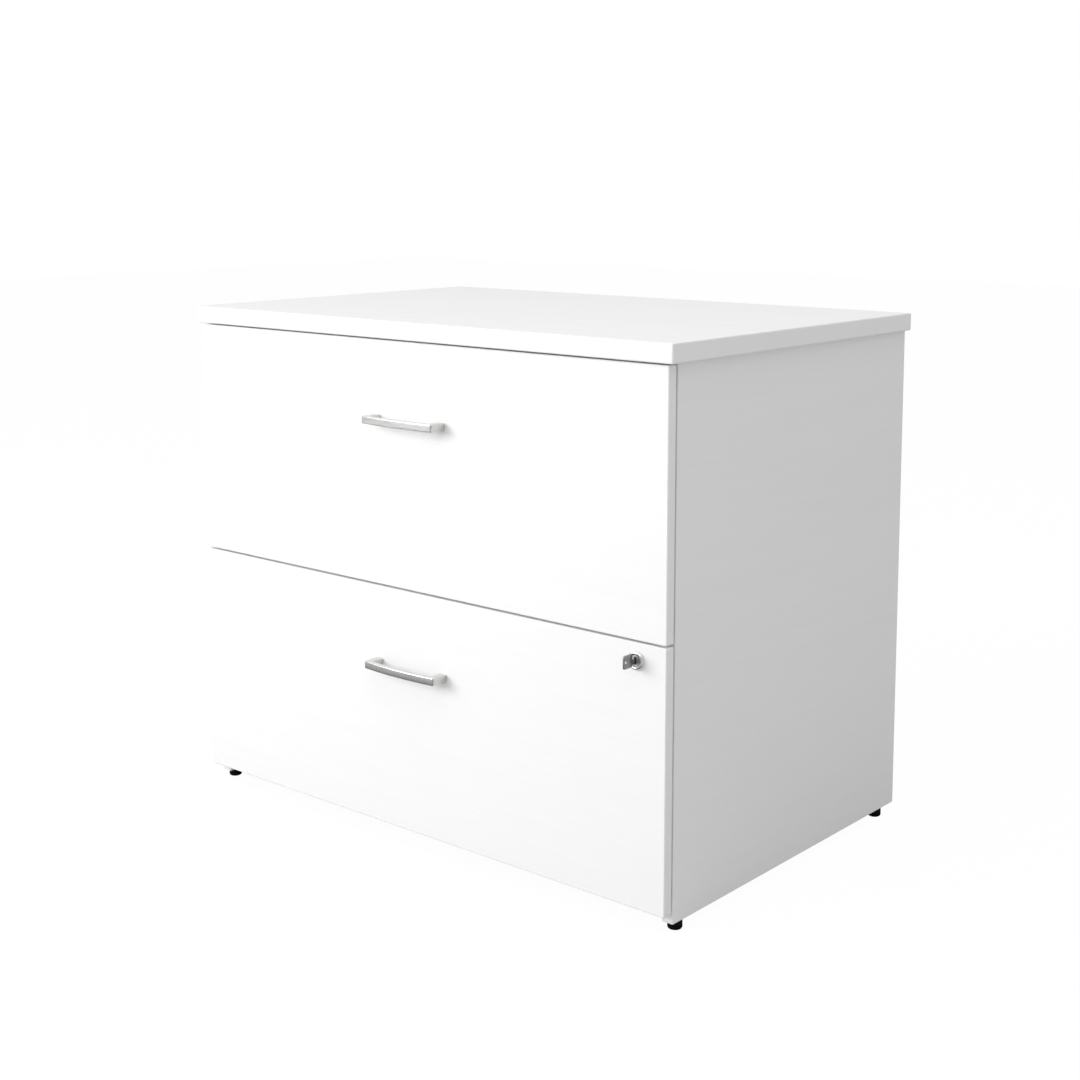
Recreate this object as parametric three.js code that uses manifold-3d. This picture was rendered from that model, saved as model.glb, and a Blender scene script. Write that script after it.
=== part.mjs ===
// A two-drawer lateral filing cabinet in white laminate, taken apart into the boards and fittings
// that it is assembled from. Millimetres, +Z up, +X to the right seen from the front. The drawers
// open towards -Y. The origin is on the floor, under the centre of the whole object.

import * as THREE from "three";
import { mergeVertices } from "three/addons/utils/BufferGeometryUtils.js";
import Module from "manifold-3d";

const wasm = await Module();
wasm.setup();

// Outline of the top panel, and the height from the floor to its upper face
const WIDTH = 907;
const DEPTH = 593;
const HEIGHT = 758;

// Thickness of the boards
const TOP_BOARD = 25.4;
const CASE_BOARD = 18;
const FRONT_BOARD = 15.9;
const BOX_BOARD = 12;
const THIN_BOARD = 6;
const GROOVE_DEPTH = 6.5;

// How far the top panel stands past the side panels, the drawer fronts and the case's back edge
const SIDE_OVERHANG = 8.7;
const FRONT_OVERHANG = 4.3;
const BACK_OVERHANG = 2.3;

// Drawer fronts, with the reveals under the top, between the fronts and behind them
const FRONT_HEIGHT = 350;
const TOP_REVEAL = 2.5;
const FRONT_REVEAL = 3;
const BUMPER_GAP = 3.4;

// Boards inside the case
const BOTTOM_RAISE = 8;
const BACK_INSET = 12;
const TOP_RAIL_DEPTH = 80;
const MIDDLE_RAIL_BOTTOM = 370;
const MIDDLE_RAIL_HEIGHT = 46;

// Drawer box, measured up from the lower edge of its front
const BOX_BOTTOM = 42;
const BOX_HEIGHT = 254;
const BOX_DEPTH = 508;
const BOX_FLOOR_RAISE = 10;

// Hanging file rails: flat bars that hook over the box sides, set for letter-size folders
const RAIL_BAR = 18;
const RAIL_THICKNESS = 3;
const RAIL_RISE = 4;
const RAIL_FRONT_INSET = 25;
const RAIL_SPACING = 316;

// Telescopic ball slides
const SLIDE_LENGTH = 500;
const SLIDE_THICKNESS = 12.9;
const SLIDE_RAISE = 118;
const SLIDE_SETBACK = 3;
const SLIDE_SHEET = 1.2;
const RETAINER_LENGTH = 160;
const RETAINER_SHEET = 0.6;
const BALL_RADIUS = 1.7;
const BALLS_PER_ROW = 3;

// Arched bow handles
const HANDLE_HOLES = 128;
const HANDLE_LENGTH = 138;
const HANDLE_HEIGHT = 11;
const HANDLE_END_REACH = 26;
const HANDLE_REACH = 30;
const HANDLE_BAR = 7.5;
const HANDLE_DROP = 111;

// Cam lock in the lower drawer's front
const LOCK_FROM_EDGE = 46;
const LOCK_DROP = 22.5;
const BEZEL_RADIUS = 12;
const BARREL_RADIUS = 9.5;
const CAM_REACH = 30;
const KEY_REACH = 27.5;
const KEY_BOW = 17.5;
const KEY_LIFT = 2;

// Levelling feet under the side panels
const FOOT_HEIGHT = 11.8;
const FOOT_RADIUS = 10;
const FOOT_STEM_RADIUS = 4;
const FOOT_STEM_LENGTH = 25;
const FRONT_FOOT_INSET = 17;
const REAR_FOOT_INSET = 40;

// Clearances: between boards that meet, and round anything that slides or turns
const SEAT = 0.2;
const FIT = 0.3;

// Planes that the pieces share
const overallDepth = DEPTH - FRONT_OVERHANG + HANDLE_REACH;
const topFrontY = HANDLE_REACH - FRONT_OVERHANG - overallDepth / 2;
const topBackY = topFrontY + DEPTH;
const frontFaceY = topFrontY + FRONT_OVERHANG;
const frontBackY = frontFaceY + FRONT_BOARD;
const caseFrontY = frontBackY + BUMPER_GAP;
const caseBackY = topBackY - BACK_OVERHANG;
const backFaceY = caseBackY - BACK_INSET - THIN_BOARD;
const caseHalf = WIDTH / 2 - SIDE_OVERHANG;
const bayHalf = caseHalf - CASE_BOARD;
const caseTopZ = HEIGHT - TOP_BOARD;
const upperFrontZ = caseTopZ - TOP_REVEAL - FRONT_HEIGHT;
const lowerFrontZ = upperFrontZ - FRONT_REVEAL - FRONT_HEIGHT;
const boxHalf = bayHalf - SLIDE_THICKNESS;
const boxInner = boxHalf - BOX_BOARD;
const boxBackY = frontBackY + BOX_DEPTH;
const boxTop = BOX_BOTTOM + BOX_HEIGHT;
const slideMiddleY = caseFrontY + SLIDE_SETBACK + SLIDE_LENGTH / 2;

// Finishes
const laminate = { color: 0xf3f3f1, roughness: 0.5, metalness: 0 };
const boxLaminate = { color: 0xe6e6e2, roughness: 0.6, metalness: 0 };
const hardboard = { color: 0xd9d8d2, roughness: 0.7, metalness: 0 };
const zincSteel = { color: 0xb9bcc0, roughness: 0.35, metalness: 1 };
const ballSteel = { color: 0xc9ccd0, roughness: 0.25, metalness: 1 };
const satinNickel = { color: 0xb4b1ab, roughness: 0.3, metalness: 1 };
const chrome = { color: 0xd6d8da, roughness: 0.1, metalness: 1 };
const plugSteel = { color: 0x77797c, roughness: 0.35, metalness: 1 };
const keySteel = { color: 0xa9aaac, roughness: 0.3, metalness: 1 };
const blackPlastic = { color: 0x161616, roughness: 0.55, metalness: 0 };
const railSteel = { color: 0x3a3b3d, roughness: 0.45, metalness: 0.3 };

const cabinet = new THREE.Group();

// Names a piece, gives it a finish of its own and hangs it in the scene graph.
function addPiece(parent, name, geometry, finish) {
  const mesh = new THREE.Mesh(geometry, new THREE.MeshStandardMaterial(finish));
  mesh.name = name;
  parent.add(mesh);
  return mesh;
}

// A closed geometry as a solid that can be cut and joined.
function solidOf(geometry) {
  const bare = geometry.clone();
  bare.deleteAttribute("normal");
  bare.deleteAttribute("uv");
  const merged = mergeVertices(bare, 1e-4);
  const index = merged.index.array;
  const triangles = [];
  for (let i = 0; i < index.length; i += 3) {
    const [a, b, c] = index.slice(i, i + 3);
    if (a !== b && b !== c && c !== a) {
      triangles.push(a, b, c);
    }
  }
  const vertProperties = new Float32Array(merged.attributes.position.array);
  const triVerts = new Uint32Array(triangles);
  return new wasm.Manifold(new wasm.Mesh({ numProp: 3, vertProperties, triVerts }));
}

// A solid back as a geometry with flat-shaded normals.
function geometryOf(solid) {
  const mesh = solid.getMesh();
  const geometry = new THREE.BufferGeometry();
  const position = new THREE.BufferAttribute(new Float32Array(mesh.vertProperties), 3);
  geometry.setAttribute("position", position);
  geometry.setIndex(new THREE.BufferAttribute(new Uint32Array(mesh.triVerts), 1));
  geometry.computeVertexNormals();
  return geometry;
}

function cut(geometry, ...tools) {
  let solid = solidOf(geometry);
  for (const tool of tools) {
    solid = solid.subtract(solidOf(tool));
  }
  return geometryOf(solid);
}

function join(geometry, ...others) {
  let solid = solidOf(geometry);
  for (const other of others) {
    solid = solid.add(solidOf(other));
  }
  return geometryOf(solid);
}

function middle(range) {
  return (range[0] + range[1]) / 2;
}

function span(range) {
  return range[1] - range[0];
}

// A plain block filling the given ranges, for grooves and rebates.
function block(x, y, z) {
  const geometry = new THREE.BoxGeometry(span(x), span(y), span(z));
  return geometry.translate(middle(x), middle(y), middle(z));
}

// A round bar along one axis, for bores and shanks.
function bar(axis, centre, radius, length, sides = 16) {
  const geometry = new THREE.CylinderGeometry(radius, radius, length, sides);
  if (axis === "z") {
    geometry.rotateX(Math.PI / 2);
  }
  return geometry.translate(...centre);
}

// A rectangle with rounded corners about the origin.
function roundedRectangle(width, height, radius) {
  const shape = new THREE.Shape();
  const x = width / 2 - radius;
  const y = height / 2 - radius;
  shape.absarc(x, y, radius, 0, Math.PI / 2);
  shape.absarc(-x, y, radius, Math.PI / 2, Math.PI);
  shape.absarc(-x, -y, radius, Math.PI, Math.PI * 1.5);
  shape.absarc(x, -y, radius, Math.PI * 1.5, Math.PI * 2);
  return shape;
}

// A board filling the given ranges. Its thin side is found by itself, and its edges are eased
// as edge banding is, in the given number of steps.
function board(x, y, z, ease = 0.8, steps = 1) {
  const size = [span(x), span(y), span(z)];
  const thin = size.indexOf(Math.min(...size));
  const faces = [[size[2], size[1]], [size[0], size[2]], [size[0], size[1]]];
  const shape = roundedRectangle(...faces[thin], ease * 1.5);
  const geometry = new THREE.ExtrudeGeometry(shape, {
    depth: size[thin] - 2 * ease,
    bevelThickness: ease,
    bevelSize: ease,
    bevelOffset: -ease,
    bevelSegments: steps,
    curveSegments: steps,
  });
  geometry.translate(0, 0, ease - size[thin] / 2);
  if (thin === 0) {
    geometry.rotateY(Math.PI / 2);
  }
  if (thin === 1) {
    geometry.rotateX(Math.PI / 2);
  }
  return geometry.translate(middle(x), middle(y), middle(z));
}

// A flat outline in X and Z, given thickness along Y about y = 0.
function plate(shape, thickness, curveSegments = 6) {
  const geometry = new THREE.ExtrudeGeometry(shape, { depth: thickness, bevelEnabled: false, curveSegments });
  return geometry.translate(0, 0, -thickness / 2).rotateX(Math.PI / 2);
}

// A profile of [radius, distance] pairs turned about its axis, with distance running up Z.
function turned(profile, segments = 24) {
  const points = profile.map(([radius, distance]) => new THREE.Vector2(radius, distance));
  return new THREE.LatheGeometry(points, segments).rotateX(Math.PI / 2);
}

// The same turning laid along Y, with distance running out of the drawer front towards -Y.
function turnedOutwards(profile, segments = 24) {
  return turned(profile, segments).rotateX(Math.PI / 2);
}

// The outline of bent sheet: a centreline given its thickness, mitred at the bends.
function bentSheet(centreline, thickness) {
  const left = [];
  const right = [];
  centreline.forEach((point, i) => {
    const before = centreline[Math.max(i - 1, 0)];
    const after = centreline[Math.min(i + 1, centreline.length - 1)];
    const into = point.clone().sub(before).normalize();
    const outOf = after.clone().sub(point).normalize();
    const along = into.add(outOf).normalize();
    const normal = new THREE.Vector2(-along.y, along.x);
    const leg = (i > 0 ? point.clone().sub(before) : after.clone().sub(point)).normalize();
    const mitre = thickness / 2 / Math.abs(normal.dot(new THREE.Vector2(-leg.y, leg.x)));
    left.push(point.clone().addScaledVector(normal, mitre));
    right.unshift(point.clone().addScaledVector(normal, -mitre));
  });
  return new THREE.Shape([...right, ...left]);
}

// A channel of bent sheet, from the upper half of its centreline, run along Y.
function channel(upperHalf, thickness, length) {
  const upper = upperHalf.map(([x, z]) => new THREE.Vector2(x, z));
  const lower = upperHalf.map(([x, z]) => new THREE.Vector2(x, -z)).reverse();
  return plate(bentSheet([...lower, ...upper], thickness), length);
}

// The slot cut through a channel's web at height zero, with round ends, long along Y.
function webSlot(x, y, width, length) {
  const shape = roundedRectangle(length, width, width / 2 - 0.01);
  const geometry = new THREE.ExtrudeGeometry(shape, { depth: 4, bevelEnabled: false, curveSegments: 2 });
  return geometry.translate(0, 0, -2).rotateX(Math.PI / 2).rotateZ(Math.PI / 2).translate(x, y, 0);
}

// The case: top, sides, bottom, back and rails

const sideY = [caseFrontY, caseBackY];
const sideZ = [FOOT_HEIGHT, caseTopZ - SEAT];
const railX = [-bayHalf + SEAT, bayHalf - SEAT];
const grooveY = [backFaceY - FIT, backFaceY + THIN_BOARD + FIT];
const topRailZ = [caseTopZ - SEAT - CASE_BOARD, caseTopZ - SEAT];
const bottomZ = FOOT_HEIGHT + BOTTOM_RAISE;
const footX = caseHalf - CASE_BOARD / 2;
const footY = { front: caseFrontY + FRONT_FOOT_INSET, rear: caseBackY - REAR_FOOT_INSET };

const topBoard = board([-WIDTH / 2, WIDTH / 2], [topFrontY, topBackY], [caseTopZ, HEIGHT], 1.8, 2);
const topGroove = block(
  [-bayHalf - GROOVE_DEPTH - FIT, bayHalf + GROOVE_DEPTH + FIT],
  grooveY,
  [caseTopZ - 1, caseTopZ + GROOVE_DEPTH + FIT],
);
addPiece(cabinet, "top_panel", cut(topBoard, topGroove), laminate);

// Each side panel has a groove for the back and a bore in its lower edge for each foot's stem.
function sidePanel(side) {
  const inner = side * bayHalf;
  const outer = side * caseHalf;
  const panel = board([Math.min(inner, outer), Math.max(inner, outer)], sideY, sideZ, 1);
  const floor = inner + side * (GROOVE_DEPTH + FIT);
  const open = inner - side;
  const groove = block([Math.min(floor, open), Math.max(floor, open)], grooveY, [0, HEIGHT]);
  const bores = Object.values(footY).map((y) => {
    const depth = FOOT_STEM_LENGTH + 12;
    return bar("z", [side * footX, y, FOOT_HEIGHT + depth / 2 - 1], FOOT_STEM_RADIUS + FIT, depth, 12);
  });
  return cut(panel, groove, ...bores);
}
addPiece(cabinet, "left_side_panel", sidePanel(-1), laminate);
addPiece(cabinet, "right_side_panel", sidePanel(1), laminate);

const bottomBoard = board(railX, [caseFrontY, backFaceY - FIT], [bottomZ, bottomZ + CASE_BOARD]);
addPiece(cabinet, "bottom_panel", bottomBoard, laminate);

const backX = [-bayHalf - GROOVE_DEPTH, bayHalf + GROOVE_DEPTH];
const backY = [backFaceY, backFaceY + THIN_BOARD];
const backBoard = board(backX, backY, [bottomZ, caseTopZ + GROOVE_DEPTH], 0.4);
addPiece(cabinet, "back_panel", backBoard, hardboard);

const frontRail = board(railX, [caseFrontY, caseFrontY + TOP_RAIL_DEPTH], topRailZ);
addPiece(cabinet, "front_top_rail", frontRail, laminate);

const rearRailY = [backFaceY - FIT - TOP_RAIL_DEPTH, backFaceY - FIT];
addPiece(cabinet, "rear_top_rail", board(railX, rearRailY, topRailZ), laminate);

// The rail between the drawers stands upright. The lock's cam turns up behind it.
const middleRailY = [caseFrontY, caseFrontY + CASE_BOARD];
const middleRailZ = [MIDDLE_RAIL_BOTTOM, MIDDLE_RAIL_BOTTOM + MIDDLE_RAIL_HEIGHT];
addPiece(cabinet, "middle_rail", board(railX, middleRailY, middleRailZ), laminate);

// Levelling feet: a pad with a rounded rim on a stem screwed into the side panel

const foot = turned([
  [0, 0],
  [FOOT_RADIUS - 3.2, 0],
  [FOOT_RADIUS - 1.4, 0.6],
  [FOOT_RADIUS - 0.4, 1.8],
  [FOOT_RADIUS, 3.6],
  [FOOT_RADIUS, FOOT_HEIGHT - 1.6],
  [FOOT_RADIUS - 0.8, FOOT_HEIGHT - FIT],
  [FOOT_STEM_RADIUS, FOOT_HEIGHT - FIT],
  [FOOT_STEM_RADIUS, FOOT_HEIGHT + FOOT_STEM_LENGTH - 0.8],
  [FOOT_STEM_RADIUS - 0.8, FOOT_HEIGHT + FOOT_STEM_LENGTH],
  [0, FOOT_HEIGHT + FOOT_STEM_LENGTH],
], 18);
for (const [row, y] of Object.entries(footY)) {
  addPiece(cabinet, `${row}_left_foot`, foot, blackPlastic).position.set(-footX, y, 0);
  addPiece(cabinet, `${row}_right_foot`, foot, blackPlastic).position.set(footX, y, 0);
}

// Ball slides. Each member's centreline runs from the top of its web to its upper lip, with x
// measured from the side panel: the outer channel holds the middle one, which holds the inner one.

const OUTER_BALL = { x: 6.2, z: 18.85 };
const INNER_BALL = { x: 7.8, z: 13.4 };

const cabinetMember = cut(
  channel([
    [0.8, 19.8],
    [2.2, 21.2],
    [OUTER_BALL.x - 1.6, 21.2],
    [OUTER_BALL.x - 0.8, 21.9],
    [OUTER_BALL.x + 0.8, 21.9],
    [OUTER_BALL.x + 1.6, 21.2],
    [9.4, 21.2],
    [10.4, 19.6],
  ], SLIDE_SHEET, SLIDE_LENGTH),
  webSlot(0.8, -190, 5, 9),
  webSlot(0.8, 190, 5, 9),
);

const middleMember = cut(
  channel([
    [3.2, 14.8],
    [4.4, 16.2],
    [9.6, 16.2],
    [10.4, 15],
  ], SLIDE_SHEET, SLIDE_LENGTH),
  webSlot(3.2, -170, 12, 34),
);

const drawerMember = cut(
  channel([
    [12.1, 9.4],
    [10.9, 10.6],
    [6, 10.6],
    [6, 8.6],
  ], SLIDE_SHEET, SLIDE_LENGTH),
  webSlot(12.1, -190, 5, 9),
  webSlot(12.1, 190, 5, 9),
);

// A retainer is a strip folded round a member, with a row of balls held in each of its flanges.
function retainer(webX, ball) {
  const strip = channel([
    [webX, ball.z - 0.85],
    [webX + 0.8, ball.z],
    [ball.x + 2, ball.z],
  ], RETAINER_SHEET, RETAINER_LENGTH);
  const pitch = RETAINER_LENGTH / BALLS_PER_ROW;
  const balls = [];
  for (let i = 0; i < BALLS_PER_ROW; i += 1) {
    const y = (i + 0.5) * pitch - RETAINER_LENGTH / 2;
    for (const z of [-ball.z, ball.z]) {
      balls.push(new THREE.OctahedronGeometry(BALL_RADIUS, 1).translate(ball.x, y, z));
    }
  }
  return join(strip, ...balls);
}
const outerRetainer = retainer(2, OUTER_BALL);
const innerRetainer = retainer(4.4, INNER_BALL);

// The same slide serves both sides: the right one is turned half a turn about its middle.
function addSlides(drawer, level) {
  for (const side of ["left", "right"]) {
    const slide = new THREE.Group();
    slide.position.set(side === "left" ? -bayHalf : bayHalf, slideMiddleY, SLIDE_RAISE);
    slide.rotation.z = side === "left" ? 0 : Math.PI;
    addPiece(slide, `${level}_${side}_cabinet_member`, cabinetMember, zincSteel);
    addPiece(slide, `${level}_${side}_middle_member`, middleMember, zincSteel);
    addPiece(slide, `${level}_${side}_drawer_member`, drawerMember, zincSteel);
    addPiece(slide, `${level}_${side}_outer_ball_retainer`, outerRetainer, ballSteel);
    addPiece(slide, `${level}_${side}_inner_ball_retainer`, innerRetainer, ballSteel);
    drawer.add(slide);
  }
}

// Handles: a bow in plan, with its reach measured out from the drawer front, rounded along its edges

function bowHandle() {
  const end = HANDLE_LENGTH / 2;
  const shoulder = end - 1.5;
  const endReach = HANDLE_END_REACH + 0.2;
  const crown = 2 * HANDLE_REACH - endReach;
  const inside = HANDLE_END_REACH - HANDLE_BAR;
  const shape = new THREE.Shape();
  shape.moveTo(-end, FIT);
  shape.lineTo(-shoulder, HANDLE_END_REACH - 3);
  shape.quadraticCurveTo(-shoulder, HANDLE_END_REACH, -shoulder + 3, endReach);
  shape.quadraticCurveTo(0, crown, shoulder - 3, endReach);
  shape.quadraticCurveTo(shoulder, HANDLE_END_REACH, shoulder, HANDLE_END_REACH - 3);
  shape.lineTo(end, FIT);
  shape.lineTo(end - 13, FIT);
  shape.quadraticCurveTo(end - 9.5, inside - 9, end - 10, inside - 5);
  shape.quadraticCurveTo(end - 10.5, inside, end - 16, inside + 0.4);
  shape.quadraticCurveTo(0, crown - HANDLE_BAR - 0.4, -end + 16, inside + 0.4);
  shape.quadraticCurveTo(-end + 10.5, inside, -end + 10, inside - 5);
  shape.quadraticCurveTo(-end + 9.5, inside - 9, -end + 13, FIT);
  const ease = 1.2;
  const geometry = new THREE.ExtrudeGeometry(shape, {
    depth: HANDLE_HEIGHT - 2 * ease,
    bevelThickness: ease,
    bevelSize: ease,
    bevelOffset: -ease,
    bevelSegments: 2,
    curveSegments: 6,
  });
  geometry.translate(0, 0, ease - HANDLE_HEIGHT / 2).rotateX(Math.PI);
  const bores = [-1, 1].map((side) => bar("y", [side * HANDLE_HOLES / 2, -5, 0], 2.3, 12, 8));
  return cut(geometry, ...bores);
}
const handle = bowHandle();

// The machine screw that holds a handle from inside the drawer box, its head on the box front.
const gripLength = FRONT_BOARD + SEAT + BOX_BOARD;
const handleScrew = turnedOutwards([
  [0, -gripLength - FIT - 2.6],
  [2.6, -gripLength - FIT - 2.4],
  [3.8, -gripLength - FIT - 1.4],
  [4, -gripLength - FIT],
  [2, -gripLength - FIT],
  [2, 9],
  [0, 9],
], 8);

// Drawers: a laminated front on a box whose bottom sits in grooves all round

const floorZ = [BOX_BOTTOM + BOX_FLOOR_RAISE, BOX_BOTTOM + BOX_FLOOR_RAISE + THIN_BOARD];
const boxZ = [BOX_BOTTOM, boxTop];
const boxFrontY = [frontBackY + SEAT, frontBackY + SEAT + BOX_BOARD];
const boxRearY = [boxBackY - BOX_BOARD, boxBackY];
const floorGroove = block(
  [-boxInner - GROOVE_DEPTH, boxInner + GROOVE_DEPTH],
  [boxFrontY[1] - GROOVE_DEPTH, boxRearY[0] + GROOVE_DEPTH],
  [floorZ[0] - FIT, floorZ[1] + FIT],
);
const boxFloor = board(
  [-boxInner - GROOVE_DEPTH + FIT, boxInner + GROOVE_DEPTH - FIT],
  [boxFrontY[1] - GROOVE_DEPTH + FIT, boxRearY[0] + GROOVE_DEPTH - FIT],
  floorZ,
  0.4,
);
const handleZ = FRONT_HEIGHT - HANDLE_DROP;
const handleBores = [-1, 1].map((side) => {
  return bar("y", [side * HANDLE_HOLES / 2, frontBackY, handleZ], 2.3, 60, 8);
});
const boxEnd = [-boxInner + SEAT, boxInner - SEAT];
const boxFront = cut(board(boxEnd, boxFrontY, boxZ, 0.6), floorGroove, ...handleBores);
const boxRear = cut(board(boxEnd, boxRearY, boxZ, 0.6), floorGroove);

function boxSide(side) {
  const x = [side * boxInner, side * boxHalf].sort((a, b) => a - b);
  return cut(board(x, [boxFrontY[0], boxBackY], boxZ, 0.6), floorGroove);
}

// A file rail is a bar between the box sides with a hook over each of them.
function fileRail() {
  const right = [
    [boxInner - FIT, RAIL_RISE - RAIL_BAR],
    [boxInner - FIT, FIT],
    [boxHalf + FIT, FIT],
    [boxHalf + FIT, -8],
    [boxHalf + FIT + 2.5, -8],
    [boxHalf + FIT + 2.5, RAIL_RISE - 1.5],
    [boxHalf + FIT + 1, RAIL_RISE],
  ];
  const left = right.map(([x, z]) => [-x, z]).reverse();
  const outline = [...right, ...left].map(([x, z]) => new THREE.Vector2(x, z));
  return plate(new THREE.Shape(outline), RAIL_THICKNESS);
}
const rail = fileRail();
const frontRailY = boxFrontY[1] + RAIL_FRONT_INSET;

const lockX = caseHalf - LOCK_FROM_EDGE;
const lockZ = FRONT_HEIGHT - LOCK_DROP;

function addDrawer(level, z) {
  const drawer = new THREE.Group();
  drawer.position.z = z;
  const bores = [...handleBores];
  if (level === "lower") {
    bores.push(bar("y", [lockX, frontBackY, lockZ], BARREL_RADIUS + FIT, 60, 24));
  }
  const front = board([-caseHalf, caseHalf], [frontFaceY, frontBackY], [0, FRONT_HEIGHT], 1);
  addPiece(drawer, `${level}_drawer_front`, cut(front, ...bores), laminate);
  addPiece(drawer, `${level}_box_front`, boxFront, boxLaminate);
  addPiece(drawer, `${level}_box_left_side`, boxSide(-1), boxLaminate);
  addPiece(drawer, `${level}_box_right_side`, boxSide(1), boxLaminate);
  addPiece(drawer, `${level}_box_back`, boxRear, boxLaminate);
  addPiece(drawer, `${level}_box_bottom`, boxFloor, hardboard);
  const rearRailPlace = [0, frontRailY + RAIL_SPACING, boxTop];
  addPiece(drawer, `${level}_front_file_rail`, rail, railSteel).position.set(0, frontRailY, boxTop);
  addPiece(drawer, `${level}_rear_file_rail`, rail, railSteel).position.set(...rearRailPlace);
  addPiece(drawer, `${level}_handle`, handle, satinNickel).position.set(0, frontFaceY, handleZ);
  for (const [side, x] of [["left", -HANDLE_HOLES / 2], ["right", HANDLE_HOLES / 2]]) {
    const screw = addPiece(drawer, `${level}_handle_${side}_screw`, handleScrew, zincSteel);
    screw.position.set(x, frontFaceY, handleZ);
  }
  addSlides(drawer, level);
  cabinet.add(drawer);
  return drawer;
}
addDrawer("upper", upperFrontZ);
const lowerDrawer = addDrawer("lower", lowerFrontZ);

// The lock, with distances measured out from the drawer front along its axis

const lock = new THREE.Group();
lock.position.set(lockX, frontFaceY, lockZ);
lowerDrawer.add(lock);

const plugRadius = 8;
const coreRadius = 6;
const camFront = -(FRONT_BOARD + BUMPER_GAP + CASE_BOARD + 1.2);
const camThickness = 2.2;
const tailHalf = 3;

const housing = turnedOutwards([
  [plugRadius + FIT, -3],
  [coreRadius + FIT, -3],
  [coreRadius + FIT, camFront + FIT],
  [BARREL_RADIUS, camFront + FIT],
  [BARREL_RADIUS, FIT],
  [BEZEL_RADIUS, FIT],
  [BEZEL_RADIUS, 2.6],
  [BEZEL_RADIUS - 0.8, 4.2],
  [BEZEL_RADIUS - 2, 4.8],
  [plugRadius + 1.2, 4.6],
  [plugRadius + FIT, 3.6],
  [plugRadius + FIT, -3],
], 24);
addPiece(lock, "lock_housing", housing, chrome);

const hexagon = new THREE.Shape();
for (let i = 0; i < 6; i += 1) {
  const angle = (i * Math.PI) / 3;
  const corner = [13 * Math.cos(angle), 13 * Math.sin(angle)];
  if (i === 0) {
    hexagon.moveTo(...corner);
  } else {
    hexagon.lineTo(...corner);
  }
}
hexagon.closePath();
hexagon.holes.push(new THREE.Path().absarc(0, 0, BARREL_RADIUS + FIT, 0, Math.PI * 2, true));
const nut = plate(hexagon, 3.6, 12).translate(0, FRONT_BOARD + FIT + 1.8, 0);
addPiece(lock, "lock_nut", nut, zincSteel);

// The plug carries the keyway in front and a square tail behind, where the cam is screwed on.
const plugBody = turnedOutwards([
  [0, camFront + FIT],
  [coreRadius, camFront + FIT],
  [coreRadius, -2.7],
  [plugRadius, -2.7],
  [plugRadius, 3],
  [plugRadius - 0.5, 3.5],
  [0, 3.5],
], 24);
const tailX = [-tailHalf, tailHalf];
const tail = block(tailX, [-camFront - 4, -camFront + camThickness + FIT], tailX);
const keyway = block([-1.4, 1.4], [-6, 24], [-4, 4]);
const tailBore = bar("y", [0, -camFront, 0], 1.9, 16, 12);
addPiece(lock, "lock_plug", cut(join(plugBody, tail), keyway, tailBore), plugSteel);

// The cam lies to the left at rest and turns up to lock.
const camOutline = new THREE.Shape();
camOutline.absarc(0, 0, 8.5, -Math.PI * 0.75, Math.PI * 0.75);
camOutline.absarc(6 - CAM_REACH, 0, 6, Math.PI / 2, Math.PI * 1.5);
const squareHole = new THREE.Path();
const holeHalf = tailHalf + FIT;
squareHole.moveTo(-holeHalf, -holeHalf);
squareHole.lineTo(-holeHalf, holeHalf);
squareHole.lineTo(holeHalf, holeHalf);
squareHole.lineTo(holeHalf, -holeHalf);
camOutline.holes.push(squareHole);
const camMiddle = -camFront + camThickness / 2;
addPiece(lock, "lock_cam", plate(camOutline, camThickness, 8).translate(0, camMiddle, 0), zincSteel);

const camBack = camFront - camThickness - 2 * FIT;
const camScrew = turnedOutwards([
  [0, camBack - 2.4],
  [3, camBack - 2.2],
  [4.6, camBack - 1],
  [4.6, camBack],
  [1.6, camBack],
  [1.6, camBack + 7],
  [0, camBack + 7],
], 12);
addPiece(lock, "lock_cam_screw", camScrew, zincSteel);

// The key stands in the plug with its flat bow upright, a little above the blade's middle. Its lower
// edge is cut for the wafers.
const keyOutline = new THREE.Shape();
const bowStart = KEY_REACH - KEY_BOW;
const bowTop = KEY_LIFT + KEY_BOW / 2;
const bowBottom = KEY_LIFT - KEY_BOW / 2;
keyOutline.moveTo(-20, -1);
for (let i = 0; i < 4; i += 1) {
  const notch = -18 + i * 5;
  keyOutline.lineTo(notch, -3.4);
  keyOutline.lineTo(notch + 1.2, -3.4);
  keyOutline.lineTo(notch + 2.4, -1.8 - 0.4 * (i % 2));
}
keyOutline.lineTo(0, -3.4);
keyOutline.lineTo(bowStart - 1.2, -3.4);
keyOutline.quadraticCurveTo(bowStart, -3.4, bowStart, -4.6);
keyOutline.quadraticCurveTo(bowStart, bowBottom, bowStart + 2.2, bowBottom);
keyOutline.lineTo(KEY_REACH - 4, bowBottom);
keyOutline.quadraticCurveTo(KEY_REACH, bowBottom, KEY_REACH, bowBottom + 4);
keyOutline.lineTo(KEY_REACH, bowTop - 4);
keyOutline.quadraticCurveTo(KEY_REACH, bowTop, KEY_REACH - 4, bowTop);
keyOutline.lineTo(bowStart + 3.5, bowTop);
keyOutline.quadraticCurveTo(bowStart, bowTop, bowStart, bowTop - 3.5);
keyOutline.lineTo(bowStart, 4.6);
keyOutline.quadraticCurveTo(bowStart, 3.4, bowStart - 1.2, 3.4);
keyOutline.lineTo(-19, 3.4);
keyOutline.holes.push(new THREE.Path().absarc(KEY_REACH - 4.6, KEY_LIFT, 2.1, 0, Math.PI * 2, true));
const keyBlank = new THREE.ExtrudeGeometry(keyOutline, { depth: 2, bevelEnabled: false, curveSegments: 6 });
keyBlank.translate(0, 0, -1).rotateX(Math.PI / 2).rotateZ(-Math.PI / 2);
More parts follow.
